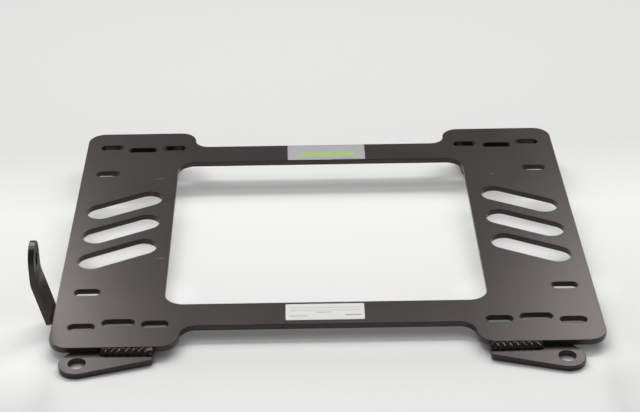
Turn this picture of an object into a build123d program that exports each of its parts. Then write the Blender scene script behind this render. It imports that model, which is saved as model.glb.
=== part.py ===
from build123d import *
from math import cos, radians, sin, tan
import os

# Seat bracket: a flat steel plate that carries a car seat on a vehicle floor.
# Millimetres. +Z up, the plate's top face at Z 0, +Y towards the front of the vehicle.
# The seat slots are centred on the origin.

# Main plate
plate_width = 471.0
plate_depth = 381.0
plate_mid_y = -0.5
plate_thickness = 5.0
plate_corner_radius = 16.5
edge_break = 0.4
plate_side_x = plate_width / 2
plate_rear_y = plate_mid_y - plate_depth / 2
plate_front_y = plate_mid_y + plate_depth / 2

# Lobes, one at each corner, and the recess between them at either end
lobe_width = 109.5
notch_depth = 30.0
lobe_inner_radius = 16.0
notch_root_radius = 13.8
notch_half_width = plate_side_x - lobe_width

# Central opening, set by the side bars and cross bars
side_bar_width = 94.2
rear_bar_width = 33.6
front_bar_width = 32.2
opening_radius = 17.0
opening_half_width = plate_side_x - side_bar_width
opening_rear_y = plate_rear_y + notch_depth + rear_bar_width
opening_front_y = plate_front_y - notch_depth - front_bar_width

# Seat bolt slots, mirrored left to right and end to end, set in from the plate's edges
bolt_slot_width = 10.0
outer_slot_length = 23.0
outer_slot_side_inset = 25.5
outer_slot_end_inset = 30.0
middle_slot_length = 28.0
middle_slot_side_inset = 56.5
middle_slot_end_inset = 36.0
inner_slot_length = 23.0
inner_slot_side_inset = 88.2
inner_slot_end_inset = 33.0
short_pattern_end_inset = 84.0
outer_slot_x = plate_side_x - outer_slot_side_inset
middle_slot_x = plate_side_x - middle_slot_side_inset
inner_slot_x = plate_side_x - inner_slot_side_inset
outer_slot_half_spacing = plate_depth / 2 - outer_slot_end_inset
middle_slot_half_spacing = plate_depth / 2 - middle_slot_end_inset
inner_slot_half_spacing = plate_depth / 2 - inner_slot_end_inset
short_pattern_half_spacing = plate_depth / 2 - short_pattern_end_inset

# Slanted lightening slots, three down each side bar
slant_slot_length = 76.0
slant_slot_width = 26.0
slant_slot_pitch = 44.0
slant_slot_side_inset = 46.9
slant_slot_mid_y = 1.0
slant_angle = 28.0
slant_slot_x = plate_side_x - slant_slot_side_inset

# Rear lugs, lapped beneath the rear lobes
lug_thickness = 5.0
lug_hole_diameter = 14.5
lug_end_radius = 15.5
lug_hole_reach = 15.1
left_lug_side_inset = 26.1
right_lug_side_inset = 37.2
lug_inner_reach = 62.6
lug_taper = 17.5
lug_corner_radius = 3.0
lug_lap = 25.0
lug_top_z = -plate_thickness
lug_hole_y = plate_rear_y - lug_hole_reach
left_lug_hole_x = left_lug_side_inset - plate_side_x
right_lug_hole_x = plate_side_x - right_lug_side_inset

# Weld beads: quarter-round, the rear ones with a row of shallow ripples
bead_leg = plate_thickness
bead_pitch = 4.5
bead_ripple_depth = 0.5
bead_end_length = 2.5
rear_bead_count = 9
front_bead_length = 37.0
left_bead_end_x = left_lug_hole_x + lug_inner_reach
right_bead_start_x = right_lug_hole_x - lug_inner_reach

# Belt strap, a flat bar standing on the left edge
strap_thickness = 5.0
strap_width = 31.5
strap_rear_inset = 39.5
strap_lean = 14.0
strap_foot_z = -5.0
strap_bead_depth = 3.0
strap_bend_z = 37.0
strap_bend_radius = 30.0
strap_top_z = 69.6
strap_hole_diameter = 12.0
strap_foot_radius = 5.0
strap_front_y = plate_rear_y + strap_rear_inset + strap_width

# Front legs: a flange under each front lobe, a step down and a broad foot ahead of the plate
leg_thickness = 5.0
leg_lap = 69.5
leg_flange_width = 56.0
leg_step_lap = 46.0
leg_step_run = 6.0
leg_drop = 22.0
leg_bend_radius = 6.0
leg_hole_side_inset = 19.5
leg_hole_reach = 23.5
leg_hole_diameter = 14.5
leg_end_radius = 15.5
leg_corner_radius = 12.0
leg_corner_reach = 17.0
leg_top_z = -plate_thickness
leg_inner_x = opening_half_width
leg_rear_y = plate_front_y - leg_lap
leg_step_top_y = plate_front_y - leg_step_lap
leg_step_foot_y = leg_step_top_y + leg_step_run
leg_hole_x = plate_side_x - leg_hole_side_inset
leg_hole_y = plate_front_y + leg_hole_reach
leg_corner_y = plate_front_y + leg_corner_reach

# Stick-on labels on the cross bars
label_thickness = 0.15
front_label_width = 77.5
front_label_depth = 28.6
front_label_x = 6.3
front_label_y = opening_front_y + front_bar_width / 2
rear_label_width = 68.0
rear_label_depth = 24.4
rear_label_x = -1.6
rear_label_gap = 3.2
rear_label_y = opening_rear_y - rear_label_gap - rear_label_depth / 2


# Main plate, cut from one sheet
with BuildPart() as main_plate:
    with BuildSketch(Plane.XY.offset(-plate_thickness)) as plate_outline:
        with Locations((0, plate_mid_y)):
            Rectangle(plate_width, plate_depth)
        with Locations((0, plate_rear_y)):
            Rectangle(2 * notch_half_width, notch_depth, align=(Align.CENTER, Align.MIN), mode=Mode.SUBTRACT)
        with Locations((0, plate_front_y)):
            Rectangle(2 * notch_half_width, notch_depth, align=(Align.CENTER, Align.MAX), mode=Mode.SUBTRACT)
        outer_corners = plate_outline.vertices().filter_by(lambda v: abs(v.X) > notch_half_width + 1)
        fillet(outer_corners, plate_corner_radius)
        notch_corners = plate_outline.vertices().filter_by(
            lambda v: abs(abs(v.X) - notch_half_width) < 0.01
        )
        roots = notch_corners.filter_by(lambda v: abs(v.Y - plate_mid_y) < plate_depth / 2 - notch_depth / 2)
        fillet(roots, notch_root_radius)
        tips = plate_outline.vertices().filter_by(
            lambda v: abs(abs(v.X) - notch_half_width) < 0.01
            and abs(v.Y - plate_mid_y) > plate_depth / 2 - 1
        )
        fillet(tips, lobe_inner_radius)
        with Locations((0, (opening_rear_y + opening_front_y) / 2)):
            RectangleRounded(
                2 * opening_half_width, opening_front_y - opening_rear_y, opening_radius, mode=Mode.SUBTRACT
            )
        with GridLocations(2 * outer_slot_x, 2 * outer_slot_half_spacing, 2, 2):
            SlotOverall(outer_slot_length, bolt_slot_width, mode=Mode.SUBTRACT)
        with GridLocations(2 * middle_slot_x, 2 * middle_slot_half_spacing, 2, 2):
            SlotOverall(middle_slot_length, bolt_slot_width, mode=Mode.SUBTRACT)
        with GridLocations(2 * inner_slot_x, 2 * inner_slot_half_spacing, 2, 2):
            SlotOverall(inner_slot_length, bolt_slot_width, mode=Mode.SUBTRACT)
        with GridLocations(2 * outer_slot_x, 2 * short_pattern_half_spacing, 2, 2):
            SlotOverall(outer_slot_length, bolt_slot_width, mode=Mode.SUBTRACT)
        with Locations((-slant_slot_x, slant_slot_mid_y)):
            with GridLocations(1, slant_slot_pitch, 1, 3):
                SlotOverall(slant_slot_length, slant_slot_width, rotation=slant_angle, mode=Mode.SUBTRACT)
        with Locations((slant_slot_x, slant_slot_mid_y)):
            with GridLocations(1, slant_slot_pitch, 1, 3):
                SlotOverall(slant_slot_length, slant_slot_width, rotation=-slant_angle, mode=Mode.SUBTRACT)
    extrude(amount=plate_thickness)
    chamfer(main_plate.faces().sort_by(Axis.Z)[-1].edges(), edge_break)
main_plate.part.label = "main_plate"

# Rear lugs: a round eye, a straight tapered edge and a squared tail under the plate
taper_drop = (lug_inner_reach - lug_end_radius * sin(radians(lug_taper))) * tan(radians(lug_taper))
tail_edge_y = lug_hole_y - lug_end_radius * cos(radians(lug_taper)) + taper_drop
tail_corner_y = (
    tail_edge_y
    - lug_corner_radius * tan(radians(lug_taper))
    + lug_corner_radius / cos(radians(lug_taper))
)
tail_back_y = plate_rear_y + lug_lap - lug_corner_radius

with BuildPart() as left_rear_lug:
    with BuildSketch(Plane.XY.offset(lug_top_z - lug_thickness)):
        with Locations((left_lug_hole_x, lug_hole_y)):
            Circle(lug_end_radius)
        with Locations((left_lug_hole_x + lug_inner_reach - lug_corner_radius, tail_corner_y)):
            Circle(lug_corner_radius)
        with Locations((left_lug_hole_x + lug_inner_reach - lug_corner_radius, tail_back_y)):
            Circle(lug_corner_radius)
        with Locations((left_lug_hole_x + lug_end_radius, tail_back_y)):
            Circle(lug_corner_radius)
        make_hull()
        with Locations((left_lug_hole_x, lug_hole_y)):
            Circle(lug_hole_diameter / 2, mode=Mode.SUBTRACT)
    extrude(amount=lug_thickness)
    chamfer(left_rear_lug.faces().sort_by(Axis.Z)[-1].edges(), edge_break)
left_rear_lug.part.label = "left_rear_lug"

with BuildPart() as right_rear_lug:
    with BuildSketch(Plane.XY.offset(lug_top_z - lug_thickness)):
        with Locations((right_lug_hole_x, lug_hole_y)):
            Circle(lug_end_radius)
        with Locations((right_lug_hole_x - lug_inner_reach + lug_corner_radius, tail_corner_y)):
            Circle(lug_corner_radius)
        with Locations((right_lug_hole_x - lug_inner_reach + lug_corner_radius, tail_back_y)):
            Circle(lug_corner_radius)
        with Locations((right_lug_hole_x - lug_end_radius, tail_back_y)):
            Circle(lug_corner_radius)
        make_hull()
        with Locations((right_lug_hole_x, lug_hole_y)):
            Circle(lug_hole_diameter / 2, mode=Mode.SUBTRACT)
    extrude(amount=lug_thickness)
    chamfer(right_rear_lug.faces().sort_by(Axis.Z)[-1].edges(), edge_break)
right_rear_lug.part.label = "right_rear_lug"

# Rear weld beads: a ridged quarter round in the corner of lug and plate edge
rear_bead_length = rear_bead_count * bead_pitch + 2 * bead_end_length
left_bead_start_x = left_bead_end_x - rear_bead_length
rear_bead_profile = [(0, 0), (bead_end_length * 0.3, -bead_leg * 0.6)]
for ridge in range(rear_bead_count):
    rear_bead_profile += [
        (bead_end_length + ridge * bead_pitch, bead_ripple_depth - bead_leg),
        (bead_end_length + (ridge + 0.5) * bead_pitch, -bead_leg),
    ]
rear_bead_profile += [
    (rear_bead_length - bead_end_length, bead_ripple_depth - bead_leg),
    (rear_bead_length - bead_end_length * 0.3, -bead_leg * 0.6),
    (rear_bead_length, 0),
]

with BuildPart() as left_rear_weld:
    with BuildSketch(Plane((left_bead_start_x, plate_rear_y, lug_top_z))):
        with BuildLine():
            Polyline(*rear_bead_profile, close=True)
        make_face()
    revolve(axis=Axis((0, plate_rear_y, lug_top_z), (-1, 0, 0)), revolution_arc=90)
left_rear_weld.part.label = "left_rear_weld"

with BuildPart() as right_rear_weld:
    with BuildSketch(Plane((right_bead_start_x, plate_rear_y, lug_top_z))):
        with BuildLine():
            Polyline(*rear_bead_profile, close=True)
        make_face()
    revolve(axis=Axis((0, plate_rear_y, lug_top_z), (-1, 0, 0)), revolution_arc=90)
right_rear_weld.part.label = "right_rear_weld"

# Belt strap: leans out from the plate edge, then stands upright to a round eye
plate_left_x = -plate_side_x
strap_mid_y = strap_front_y - strap_width / 2
strap_eye_z = strap_top_z - strap_width / 2
foot_x = plate_left_x - strap_thickness / 2 * cos(radians(strap_lean))
foot_z = strap_foot_z - strap_thickness / 2 * sin(radians(strap_lean))
bend_x = foot_x - (strap_bend_z - foot_z) * tan(radians(strap_lean))

with BuildPart() as belt_strap:
    with BuildSketch(Plane.XZ.offset(-strap_front_y)):
        with BuildLine():
            FilletPolyline(
                (foot_x, foot_z), (bend_x, strap_bend_z), (bend_x, strap_top_z), radius=strap_bend_radius
            )
        trace(line_width=strap_thickness)
    extrude(amount=strap_width)
    with BuildSketch(Plane.YZ.offset(bend_x - strap_width)) as strap_face:
        with Locations((strap_mid_y, strap_foot_z - strap_thickness)):
            Rectangle(
                strap_width, strap_eye_z - strap_foot_z + strap_thickness, align=(Align.CENTER, Align.MIN)
            )
        with Locations((strap_mid_y, strap_eye_z)):
            Circle(strap_width / 2)
            Circle(strap_hole_diameter / 2, mode=Mode.SUBTRACT)
    extrude(amount=2 * strap_width, mode=Mode.INTERSECT)
    foot_corners = belt_strap.edges().filter_by(Axis.X, tolerance=strap_lean + 1).group_by(Axis.Z)[0]
    fillet(foot_corners, strap_foot_radius)
belt_strap.part.label = "belt_strap"

# Strap weld: a bead low in the narrow groove between strap and plate edge
strap_bead_top_z = strap_foot_z + strap_bead_depth

with BuildPart() as strap_weld:
    with BuildSketch(Plane.XZ.offset(-strap_front_y + strap_foot_radius)):
        with BuildLine():
            Polyline(
                (plate_left_x, strap_foot_z),
                (plate_left_x, strap_bead_top_z),
                (plate_left_x - strap_bead_depth * tan(radians(strap_lean)), strap_bead_top_z),
                close=True,
            )
        make_face()
    extrude(amount=strap_width - 2 * strap_foot_radius)
strap_weld.part.label = "strap_weld"

# Front legs: bent from flat bar, the foot leaning outwards to its bolt eye
flange_mid_z = leg_top_z - leg_thickness / 2
foot_mid_z = flange_mid_z - leg_drop
leg_span = leg_hole_x + leg_end_radius - leg_inner_x
flange_mid_x = leg_inner_x + leg_flange_width / 2

with BuildPart() as right_front_leg:
    with BuildSketch(Plane.YZ.offset(leg_inner_x)):
        with BuildLine():
            FilletPolyline(
                (leg_rear_y, flange_mid_z),
                (leg_step_top_y, flange_mid_z),
                (leg_step_foot_y, foot_mid_z),
                (leg_hole_y + leg_end_radius, foot_mid_z),
                radius=leg_bend_radius,
            )
        trace(line_width=leg_thickness)
    extrude(amount=leg_span)
    with BuildSketch(Plane.XY.offset(foot_mid_z - leg_thickness)):
        with Locations((flange_mid_x, leg_rear_y)):
            Rectangle(leg_flange_width, leg_step_foot_y - leg_rear_y, align=(Align.CENTER, Align.MIN))
        with Locations((leg_inner_x + leg_corner_radius, leg_corner_y)):
            Circle(leg_corner_radius)
        with Locations((leg_hole_x, leg_hole_y)):
            Circle(leg_end_radius)
        make_hull()
        with Locations((leg_hole_x, leg_hole_y)):
            Circle(leg_hole_diameter / 2, mode=Mode.SUBTRACT)
    extrude(amount=leg_drop + 2 * leg_thickness, mode=Mode.INTERSECT)
right_front_leg.part.label = "right_front_leg"

with BuildPart() as left_front_leg:
    add(right_front_leg.part)
    mirror(about=Plane.YZ, mode=Mode.REPLACE)
left_front_leg.part.label = "left_front_leg"

# Front weld beads, plain, in the corner behind each leg's rear edge
front_bead_profile = [
    (0, 0),
    (bead_end_length, -bead_leg),
    (front_bead_length - bead_end_length, -bead_leg),
    (front_bead_length, 0),
]

with BuildPart() as right_front_weld:
    with BuildSketch(Plane((flange_mid_x - front_bead_length / 2, leg_rear_y, leg_top_z))):
        with BuildLine():
            Polyline(*front_bead_profile, close=True)
        make_face()
    revolve(axis=Axis((0, leg_rear_y, leg_top_z), (1, 0, 0)), revolution_arc=90)
right_front_weld.part.label = "right_front_weld"

with BuildPart() as left_front_weld:
    with BuildSketch(Plane((-flange_mid_x - front_bead_length / 2, leg_rear_y, leg_top_z))):
        with BuildLine():
            Polyline(*front_bead_profile, close=True)
        make_face()
    revolve(axis=Axis((0, leg_rear_y, leg_top_z), (1, 0, 0)), revolution_arc=90)
left_front_weld.part.label = "left_front_weld"

# Labels, thin films lying on the plate
with BuildPart() as front_label:
    with BuildSketch(Plane.XY):
        with Locations((front_label_x, front_label_y)):
            Rectangle(front_label_width, front_label_depth)
    extrude(amount=label_thickness)
front_label.part.label = "front_label"

with BuildPart() as rear_label:
    with BuildSketch(Plane.XY):
        with Locations((rear_label_x, rear_label_y)):
            Rectangle(rear_label_width, rear_label_depth)
    extrude(amount=label_thickness)
rear_label.part.label = "rear_label"

os.makedirs("parts", exist_ok=True)
export_step(main_plate.part, "parts/main_plate.step")
export_step(left_rear_lug.part, "parts/left_rear_lug.step")
export_step(right_rear_lug.part, "parts/right_rear_lug.step")
export_step(left_rear_weld.part, "parts/left_rear_weld.step")
export_step(right_rear_weld.part, "parts/right_rear_weld.step")
export_step(belt_strap.part, "parts/belt_strap.step")
export_step(strap_weld.part, "parts/strap_weld.step")
export_step(right_front_leg.part, "parts/right_front_leg.step")
export_step(left_front_leg.part, "parts/left_front_leg.step")
export_step(right_front_weld.part, "parts/right_front_weld.step")
export_step(left_front_weld.part, "parts/left_front_weld.step")
export_step(front_label.part, "parts/front_label.step")
export_step(rear_label.part, "parts/rear_label.step")
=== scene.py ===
from math import cos, pi, radians, sin

import bmesh
import bpy
import numpy as np
from mathutils import Matrix, Vector


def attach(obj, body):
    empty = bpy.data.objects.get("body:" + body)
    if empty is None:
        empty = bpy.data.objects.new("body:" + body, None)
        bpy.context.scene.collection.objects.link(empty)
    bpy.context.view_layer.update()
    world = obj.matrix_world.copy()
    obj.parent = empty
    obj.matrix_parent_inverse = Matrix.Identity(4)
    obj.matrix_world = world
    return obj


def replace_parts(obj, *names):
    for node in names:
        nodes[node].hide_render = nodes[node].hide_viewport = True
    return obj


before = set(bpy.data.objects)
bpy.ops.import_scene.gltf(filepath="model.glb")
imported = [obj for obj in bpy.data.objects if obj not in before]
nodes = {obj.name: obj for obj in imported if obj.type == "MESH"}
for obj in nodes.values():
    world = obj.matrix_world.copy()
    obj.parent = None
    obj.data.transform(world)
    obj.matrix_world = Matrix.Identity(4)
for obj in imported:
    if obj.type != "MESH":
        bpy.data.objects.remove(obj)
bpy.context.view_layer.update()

# Main plate: one sheet of 5 mm mild steel with its top edge broken. Like the lugs, strap
# and legs welded to it, it is powder coated a dark warm grey, satin and with a fine even
# texture. Shelf wear has left a few pale rubs on it.


def linear(code):
    """sRGB hex colour as linear RGBA: a share up to 0.04045 is divided by 12.92, and a larger one
    has 0.055 added, is divided by 1.055 and raised to the power 2.4."""
    c = np.array([int(code[i:i + 2], 16) for i in (0, 2, 4)]) / 255
    c = np.where(c <= 0.04045, c / 12.92, ((c + 0.055) / 1.055) ** 2.4)
    return (*c.tolist(), 1.0)


def node(tree, kind, values=(), **links):
    """Adds a shader node. A value goes to the input of its number or name, or else to the property
    of its name, and one that is another node's socket is linked."""
    n = tree.nodes.new(kind)
    named = {key.replace("_", " "): source for key, source in links.items()}
    for key, value in {**dict(values), **named}.items():
        if isinstance(value, bpy.types.NodeSocket):
            tree.links.new(value, n.inputs[key])
        elif isinstance(key, int) or key in n.inputs:
            n.inputs[key].default_value = value
        else:
            setattr(n, key, value)
    return n


def calc(tree, operation, *terms):
    """Result of a math node, each term a socket or a number."""
    values = {"operation": operation, **dict(enumerate(terms))}
    return node(tree, "ShaderNodeMath", values).outputs[0]


def noise(tree, place, scale, detail, roughness=0.5):
    """Soft noise about one half, its scale in waves per metre."""
    values = {"Scale": scale, "Detail": detail, "Roughness": roughness}
    return node(tree, "ShaderNodeTexNoise", values, Vector=place).outputs["Fac"]


def spread(tree, value, old, new):
    """Moves a value evenly from an old range to a new one, held at both ends."""
    values = {"From Min": old[0], "From Max": old[1], "To Min": new[0], "To Max": new[1]}
    return node(tree, "ShaderNodeMapRange", values, Value=value).outputs["Result"]


def ramp(tree, value, stops):
    """Colour by value, blended evenly between stops of a position and a linear colour."""
    made = node(tree, "ShaderNodeValToRGB", Fac=value)
    points = made.color_ramp.elements
    while len(points) < len(stops):
        points.new(0.5)
    for point, (position, colour) in zip(points, stops):
        point.position, point.color = position, colour
    return made.outputs["Color"]


def mix(tree, share, ground, over):
    """Blend of two colours by the share of the second."""
    values = {"data_type": "RGBA", 0: share, 6: ground, 7: over}
    return node(tree, "ShaderNodeMix", values).outputs[2]


def rub_and_light_patch(tree, place, middle, angle, half_long, half_wide, strength):
    """A soft-edged mark on an ellipse turned by an angle, used for wear rubs and for patches of
    painted
    light: its full strength in the inner fifth, fading evenly to nothing at the rim."""
    values = {"vector_type": "TEXTURE", "Location": (*middle, 0.0),
              "Rotation": (0.0, 0.0, radians(angle)), "Scale": (half_long, half_wide, 1.0)}
    local = node(tree, "ShaderNodeMapping", values, Vector=place).outputs["Vector"]
    away = node(tree, "ShaderNodeVectorMath", {"operation": "LENGTH", 0: local}).outputs["Value"]
    return spread(tree, away, (1.0, 0.2), (0.0, strength))


def material(name):
    """An empty node material, its tree and its object coordinates."""
    m = bpy.data.materials.new(name)
    m.use_nodes = True
    m.node_tree.nodes.clear()
    return m, m.node_tree, node(m.node_tree, "ShaderNodeTexCoord").outputs["Object"]


def surface(tree, values=(), **links):
    """Ends a material with one plain surface."""
    skin = node(tree, "ShaderNodeBsdfPrincipled", values, **links)
    node(tree, "ShaderNodeOutputMaterial", Surface=skin.outputs["BSDF"])


def coat_on(piece, m):
    """Gives a CAD piece its material."""
    piece.data.materials.clear()
    piece.data.materials.append(m)


full = (0.0, 1.0)
warm_gloss = (1.0, 0.83, 0.79, 1.0)
coat, t, place = material("satin_powder_coat")
grain = noise(t, place, 900.0, 3.0, 0.6)
cloud = noise(t, place, 14.0, 4.0, 0.55)
speck = noise(t, place, 260.0, 2.0)
worn = 0.0
for middle, angle, half_long, half_wide, strength in (
        ((-0.1740, 0.0902), 23.0, 0.0050, 0.0008, 0.35),
        ((-0.1587, 0.0948), 14.0, 0.0085, 0.0009, 0.50),
        ((-0.1503, 0.0450), 25.0, 0.0030, 0.0008, 0.35),
        ((-0.1477, -0.0520), 3.0, 0.0028, 0.0016, 0.90),
        ((-0.1500, -0.0525), 3.0, 0.0075, 0.0009, 0.30),
        ((0.1680, 0.0948), 5.0, 0.0036, 0.0016, 0.55),
        ((-0.2130, -0.1260), 62.0, 0.0060, 0.0007, 0.15),
        ((0.2010, -0.0300), 40.0, 0.0070, 0.0006, 0.16)):
    mark = rub_and_light_patch(t, place, middle, angle, half_long, half_wide, strength)
    worn = calc(t, "MAXIMUM", worn, mark)
worn = calc(t, "MULTIPLY", worn, spread(t, speck, (0.35, 0.6), full))
tone = ramp(t, cloud, ((0.3, linear("33302f")), (0.7, linear("383534"))))
peel = node(t, "ShaderNodeBump", {"Strength": 0.25, "Distance": 0.00005}, Height=grain)
surface(t, {"IOR": 1.5, "Specular Tint": warm_gloss},
        Base_Color=mix(t, worn, tone, linear("a39d98")),
        Roughness=spread(t, cloud, full, (0.26, 0.31)), Normal=peel.outputs["Normal"])
for name in ("main_plate", "left_rear_lug", "right_rear_lug", "belt_strap", "left_front_leg",
             "right_front_leg", "left_front_weld", "right_front_weld", "strap_weld"):
    coat_on(nodes[name], coat)

# Front legs: bent from flat bar under the front lobes. Their inner edges lean a little
# outwards to the rear, so only the right one's corner comes into view through the opening.


def riding_piece(mesh, work, m, smooth=None):
    """Piece that rides on the bracket: the mesh takes a bmesh whose open ends are filled and whose
    faces are turned outward. Its shading stays as it is unless smooth is given."""
    bmesh.ops.holes_fill(work, edges=[e for e in work.edges if e.is_boundary], sides=0)
    bmesh.ops.recalc_face_normals(work, faces=work.faces)
    work.to_mesh(mesh)
    work.free()
    if smooth is not None:
        mesh.polygons.foreach_set("use_smooth", np.full(len(mesh.polygons), smooth))
    mesh.materials.append(m)
    made = bpy.data.objects.new(mesh.name, mesh)
    bpy.context.scene.collection.objects.link(made)
    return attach(made, "root")


def cut_leg(name, inner_x):
    """A copy of a CAD leg, its inner edge cut to a slant that passes through a given x where the
    foot begins and leans outwards by 95 mm for each metre towards the rear."""
    foot_y, lean, join, on_plane = 0.152, 0.095, 1e-6, 1e-7
    work = bmesh.new()
    work.from_mesh(nodes[name].data)
    work.transform(nodes[name].matrix_world)
    bmesh.ops.remove_doubles(work, verts=work.verts, dist=join)
    bmesh.ops.bisect_plane(work, geom=[*work.verts, *work.edges, *work.faces], dist=on_plane,
                           clear_inner=True, plane_co=(inner_x / 1000, foot_y, 0.0),
                           plane_no=(np.sign(inner_x), lean, 0.0))
    made = riding_piece(bpy.data.meshes.new(name + "_cut"), work, coat)
    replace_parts(made, name)


cut_leg("left_front_leg", -147.0)
cut_leg("right_front_leg", 145.2)

# Rear weld beads: laid by hand in the corner of lug and plate edge, each a row of
# overlapping ripples that ends in a small round crater at its inner end. The coat
# runs smoother and glossier over the metal of the weld.


def piece(name, points, faces, m, smooth=True):
    """A closed mesh piece in place, from its points in metres and its faces."""
    mesh = bpy.data.meshes.new(name)
    mesh.from_pydata(points.tolist(), [], faces)
    work = bmesh.new()
    work.from_mesh(mesh)
    return riding_piece(mesh, work, m, smooth)


weld_coat, t, place = material("coated_weld")
scale_marks = noise(t, place, 1400.0, 3.0, 0.6)
tone = ramp(t, scale_marks, ((0.35, linear("1e1c1b")), (0.7, linear("2a2726"))))
bumps = node(t, "ShaderNodeBump", {"Strength": 0.3, "Distance": 0.00006}, Height=scale_marks)
surface(t, {"IOR": 1.55, "Specular Tint": warm_gloss}, Base_Color=tone,
        Roughness=spread(t, scale_marks, full, (0.12, 0.22)), Normal=bumps.outputs["Normal"])

edge_y, lug_z = -191.0, -5.0


def rounded_end(way, length):
    """Share of the full size by the way from an end: a quarter circle over a length, then one."""
    return np.sqrt(np.clip(1 - (1 - np.clip(way / length, 0, 1)) ** 2, 0, 1))


def ripple_bead(name, inner_x, outer_x, waver):
    """Bead along the plate's rear edge, in millimetres. Its section falls gently away from the edge
    by 0.36 of the way out, times a power of a cosine that turns it down to the lug. Both legs carry
    a rounding at the ends and a ripple: a saw-tooth along the bead, bowed by a sine over the
    section, that climbs gently away from the crater and drops over its last quarter. The crater
    is a dip with a round rim. The first ripple gives way to it over a smooth step."""
    rings, around = 460, 36
    pitch, first_ripple, bow_depth, climb = 5.75, 5.8, 3.0, 0.77
    ripple_height, ripple_base, slope = 0.58, -0.3, 0.36
    crater_u, crater_turn, crater_leg, crater_end = 4.0, radians(50), 5.6, 6.6
    rim_height, rim_radius, dip_depth, dip_radius = 0.12, 3.0, 0.55, 1.6
    bead_long, outward = abs(outer_x - inner_x), np.sign(outer_x - inner_x)
    u = np.linspace(0, bead_long, rings)[:, None] + np.zeros((1, around))
    turn = np.radians(np.linspace(0, 90, around))[None, :]
    bow = bow_depth * np.sin(np.clip(2 * turn, 0, pi))
    drift = 0.3 * np.sin(u * 0.33 + waver) + 0.15 * np.sin(u * 0.9 + 2 * waver)
    step = np.mod((u - first_ripple - bow + drift) / pitch, 1.0)
    ridge = np.where(step > climb, (1 - step) / (1 - climb), (step / climb) ** 1.5)
    far = np.sqrt((u - crater_u) ** 2 + ((turn - crater_turn) * crater_leg) ** 2)
    crater = rim_height * np.exp(-((far - rim_radius) / 1.1) ** 2)
    crater = crater - dip_depth * np.exp(-(far / dip_radius) ** 2)
    by_crater = 1 / (1 + np.exp((u - crater_end) / 0.9))
    grit = 0.05 * np.sin(u * 2.7 + 4 * turn + waver) + 0.04 * np.sin(u * 4.3 - 5 * turn)
    ripple = ripple_height * ridge + ripple_base + grit
    swell = (1 - by_crater) * ripple + by_crater * crater
    ends = rounded_end(u, 2.4) * rounded_end(bead_long - u, 3.0)
    leg_y = (6.4 - 1.2 * u / bead_long + swell) * ends
    leg_z = (4.6 + swell) * ends
    out = leg_y * np.sin(turn) ** 0.7
    x = inner_x + outward * u
    y = edge_y - out
    z = lug_z + (leg_z - slope * out) * np.clip(np.cos(turn), 0, 1) ** 0.4
    corner = np.tile([lug_z, -0.4], (rings, 1))
    back = np.stack([x[:, :2], np.full((rings, 2), edge_y), corner], axis=2)
    ring = np.concatenate([np.stack([x, y, z], axis=2), back], axis=1) / 1000
    at = np.arange(ring[..., 0].size).reshape(ring.shape[:2])
    quads = np.stack([at[:-1], np.roll(at[:-1], -1, 1), np.roll(at[1:], -1, 1), at[1:]], axis=2)
    made = piece(name, ring.reshape(-1, 3), quads.reshape(-1, 4).tolist(), weld_coat)
    return made


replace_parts(ripple_bead("left_rear_bead", -144.9, -192.3, 0.4), "left_rear_weld")
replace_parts(ripple_bead("right_rear_bead", 134.5, 181.2, 2.1), "right_rear_weld")

# Silver label: a film with a bare satin silver ground, its corners rounded, stuck on the
# front bar, with a plain green bar printed across it.


def film_piece(name, middle, size, corner, m):
    """Flat film with rounded corners, in millimetres: the outline is a rectangle whose corners are
    quarter circles, set at the bottom and top of the film and joined round its edge."""
    thick, per_corner = 0.15, 7
    arc = np.linspace(0, pi / 2, per_corner)
    turn = np.concatenate([arc + k * pi / 2 for k in range(4)])
    side = np.repeat([[1, 1], [-1, 1], [-1, -1], [1, -1]], per_corner, axis=0)
    rim = corner * np.stack([np.cos(turn), np.sin(turn)], 1)
    flat = np.array(middle) + side * (np.array(size) / 2 - corner) + rim
    n = len(flat)
    points = np.concatenate([np.c_[flat, np.full(n, z)] for z in (0.0, thick)]) / 1000
    walls = [(k, (k + 1) % n, n + (k + 1) % n, n + k) for k in range(n)]
    faces = [tuple(range(n)), tuple(range(n, 2 * n)), *walls]
    return piece(name, points, faces, m, smooth=False)


def printed(tree, place, middle, half):
    """One on a printed rectangle, given by its middle and half sizes, and nothing beside it."""
    at = node(tree, "ShaderNodeSeparateXYZ", Vector=place).outputs
    along = calc(tree, "COMPARE", at["X"], middle[0], half[0])
    across = calc(tree, "COMPARE", at["Y"], middle[1], half[1])
    return calc(tree, "MULTIPLY", along, across)


film, t, place = material("silver_film")
cloud = noise(t, place, 60.0, 3.0)
bar = printed(t, place, (0.0063, 0.1398), (0.028, 0.0046))
surface(t, {"Metallic": 0.2}, Base_Color=mix(t, bar, linear("bbbabe"), linear("b3d383")),
        Roughness=spread(t, cloud, full, (0.34, 0.44)))
coat_on(nodes["front_label"], film)
silver = film_piece("front_label_film", (6.3, 144.1), (77.5, 30.6), 1.8, film)
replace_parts(silver, "front_label")

# White label: plain matt coated paper with its corners rounded, stuck on the rear bar and
# printed with five faint ruled lines.
paper, t, place = material("white_paper")
fibre = noise(t, place, 300.0, 3.0)
inked = ramp(t, fibre, ((0.0, linear("f8f7f4")), (1.0, linear("fcfbf8"))))
line_half_wide = 0.0006
for middle, half_long, ink in (
        ((-0.0016, -0.1367), 0.0305, "e2e2df"), ((-0.0016, -0.1405), 0.0305, "e2e2df"),
        ((-0.0025, -0.1436), 0.0068, "c8c8c5"), ((-0.0245, -0.1490), 0.0080, "cfcfcc"),
        ((0.0225, -0.1480), 0.0070, "a3a3a0")):
    line = printed(t, place, middle, (half_long, line_half_wide))
    inked = mix(t, line, inked, linear(ink))
surface(t, Base_Color=inked, Roughness=spread(t, fibre, full, (0.5, 0.6)))
coat_on(nodes["rear_label"], paper)
white = film_piece("rear_label_film", (-1.6, -142.8), (68.0, 24.4), 1.3, paper)
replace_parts(white, "rear_label")
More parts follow.
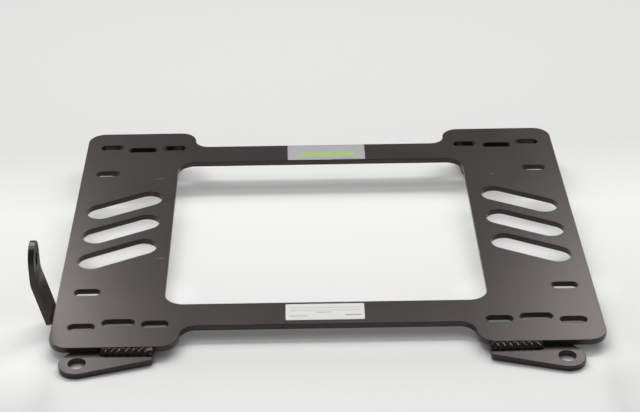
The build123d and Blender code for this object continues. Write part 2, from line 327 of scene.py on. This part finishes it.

# Studio table: a pale surface that the rear lugs and the front feet touch. Its own colour is darker
# towards the far side and the sides, painted shade that evens out the lamps. To the camera and to
# reflections it carries painted light that makes it paler than the lamps make it, by an amount that
# changes with the place and grows in soft patches that lighten the bracket's shadows, but not where
# the bracket stands close over it, which paints shade there.


def warm_grey(level):
    """Linear grey of a level, with a hundredth less blue."""
    return (level, level, 0.99 * level, 1.0)


rear_y, rear_z = -0.2216, -0.010
front_y, front_z = 0.1546, -0.032
fall = (front_z - rear_z) / (front_y - rear_y)
half = 6.0
corners = [(x, y, rear_z + (y - rear_y) * fall)
           for x, y in ((-half, -half), (half, -half), (half, half), (-half, half))]
mesh = bpy.data.meshes.new("table_top")
mesh.from_pydata(corners, [], [(0, 1, 2, 3)])
table = bpy.data.objects.new("table_top", mesh)
bpy.context.scene.collection.objects.link(table)
pale, t, place = material("pale_table")
at = node(t, "ShaderNodeSeparateXYZ", Vector=place).outputs
depth = spread(t, at["Y"], (-0.3, 0.9), full)
aside = spread(t, calc(t, "ABSOLUTE", at["X"]), (0.2, 0.31), (0.0, 0.3))
cloud = noise(t, place, 2.0, 2.0)
blend = calc(t, "MULTIPLY_ADD", cloud, 0.04, calc(t, "MAXIMUM", depth, aside))
# Painted shade: the table's own colour is darker towards the far side and the sides, to even out
# the lamps.
tone = ramp(t, blend, [(position, warm_grey(level)) for position, level in (
    (0.08, 0.85), (0.33, 0.64))])
# Painted light: how strongly the table glows, by place.
glow = ramp(t, blend, [(position, warm_grey(level)) for position, level in (
    (0.06, 0.22), (0.11, 0.14), (0.16, 0.22), (0.33, 0.36), (0.46, 0.17), (0.90, 0.06))])
mirrored = node(t, "ShaderNodeVectorMath", {"operation": "ABSOLUTE", 0: place}).outputs["Vector"]
# Soft patches of painted light that lighten the bracket's shadows under the far slots and beside
# the lugs.
for around, middle, half_long, half_wide, strength in (
        (mirrored, (0.190, 0.085), 0.080, 0.042, 0.24),
        (place, (-0.258, -0.185), 0.090, 0.075, 0.15),
        (place, (0.222, -0.195), 0.050, 0.040, 0.10)):
    glow = calc(t, "ADD", glow, rub_and_light_patch(t, around, middle, 0.0, half_long, half_wide, strength))
ray = node(t, "ShaderNodeLightPath").outputs
seen = calc(t, "ADD", ray["Is Camera Ray"], ray["Is Glossy Ray"])
seen = calc(t, "ADD", seen, ray["Is Transmission Ray"])
# Painted shade: the painted light is held back where the bracket stands close over the table.
clear = node(t, "ShaderNodeAmbientOcclusion", {"samples": 8, "Distance": 0.012}).outputs["AO"]
painted_light_strength = calc(t, "MULTIPLY", glow, calc(t, "MULTIPLY", seen, clear))
painted_light = node(t, "ShaderNodeEmission", {"Color": warm_grey(1.0)}, Strength=painted_light_strength)
skin = node(t, "ShaderNodeBsdfPrincipled", {"Roughness": 0.9, "Specular IOR Level": 0.1},
            Base_Color=tone)
lifted = node(t, "ShaderNodeAddShader", {0: skin.outputs["BSDF"], 1: painted_light.outputs["Emission"]})
node(t, "ShaderNodeOutputMaterial", Surface=lifted.outputs["Shader"])
mesh.materials.append(pale)

# Studio light: a wide box above and behind, two smaller ones low behind, one at either
# side and one overhead, in a dim pale room.
world = bpy.data.worlds.new("studio")
bpy.context.scene.world = world
world.use_nodes = True
t = world.node_tree
t.nodes.clear()
room = node(t, "ShaderNodeBackground", {"Color": (1.0, 1.0, 1.0, 1.0), "Strength": 0.14})
node(t, "ShaderNodeOutputWorld", Surface=room.outputs["Background"])


def soft_box(name, where, size, glow, look=(0, 0, 0)):
    """A rectangular area light at a place, aimed at a point, of a given surface brightness: its
    power is the brightness times pi times its area."""
    lamp = bpy.data.lights.new(name, "AREA")
    lamp.shape, lamp.size, lamp.size_y = "RECTANGLE", size[0], size[1]
    lamp.energy = glow * pi * size[0] * size[1]
    holder = bpy.data.objects.new(name, lamp)
    bpy.context.scene.collection.objects.link(holder)
    holder.location = where
    holder.rotation_mode = "QUATERNION"
    holder.rotation_quaternion = (Vector(look) - Vector(where)).to_track_quat("-Z", "Y")


soft_box("left_back_box", (-0.583, 1.12, 0.90), (0.35, 0.25), 9.6)
soft_box("right_back_box", (0.583, 1.12, 0.90), (0.35, 0.25), 6.6)
soft_box("top_back_box", (0.0, 0.99, 1.457), (2.0, 0.40), 7.2)
soft_box("left_side_box", (-1.02, 0.91, 1.03), (0.42, 0.38), 2.6)
soft_box("right_side_box", (1.02, 0.91, 1.03), (0.42, 0.38), 5.6)
soft_box("overhead_box", (-0.45, 0.25, 1.65), (0.3, 0.6), 4.5)

# Camera: a long lens looking down 30 degrees over the rear edge. Its focal length and the
# middle of its picture are in pixels of a picture 640 wide.
picture_wide, focal, middle_x = 640, 1688.379, 296.492
lens = bpy.data.cameras.new("camera")
lens.sensor_width = 36.0
lens.lens = 36.0 * focal / picture_wide
lens.shift_x = (picture_wide / 2 - middle_x) / picture_wide
lens.clip_start, lens.clip_end = 0.05, 30.0
camera = bpy.data.objects.new("camera", lens)
bpy.context.scene.collection.objects.link(camera)
bpy.context.scene.camera = camera
stand = Vector((-0.0264, -1.3511, 0.8140))
pitch, yaw, roll = radians(30.371), radians(0.076), radians(0.885)
ahead = Vector((sin(yaw) * cos(pitch), cos(yaw) * cos(pitch), -sin(pitch)))
level = Vector((cos(yaw), -sin(yaw), 0.0))
down = ahead.cross(level)
right = cos(roll) * level + sin(roll) * down
down = ahead.cross(right)
camera.matrix_world = Matrix((
    (right.x, -down.x, -ahead.x, stand.x),
    (right.y, -down.y, -ahead.y, stand.y),
    (right.z, -down.z, -ahead.z, stand.z),
    (0, 0, 0, 1),
))

bpy.context.scene.view_settings.view_transform = "Standard"
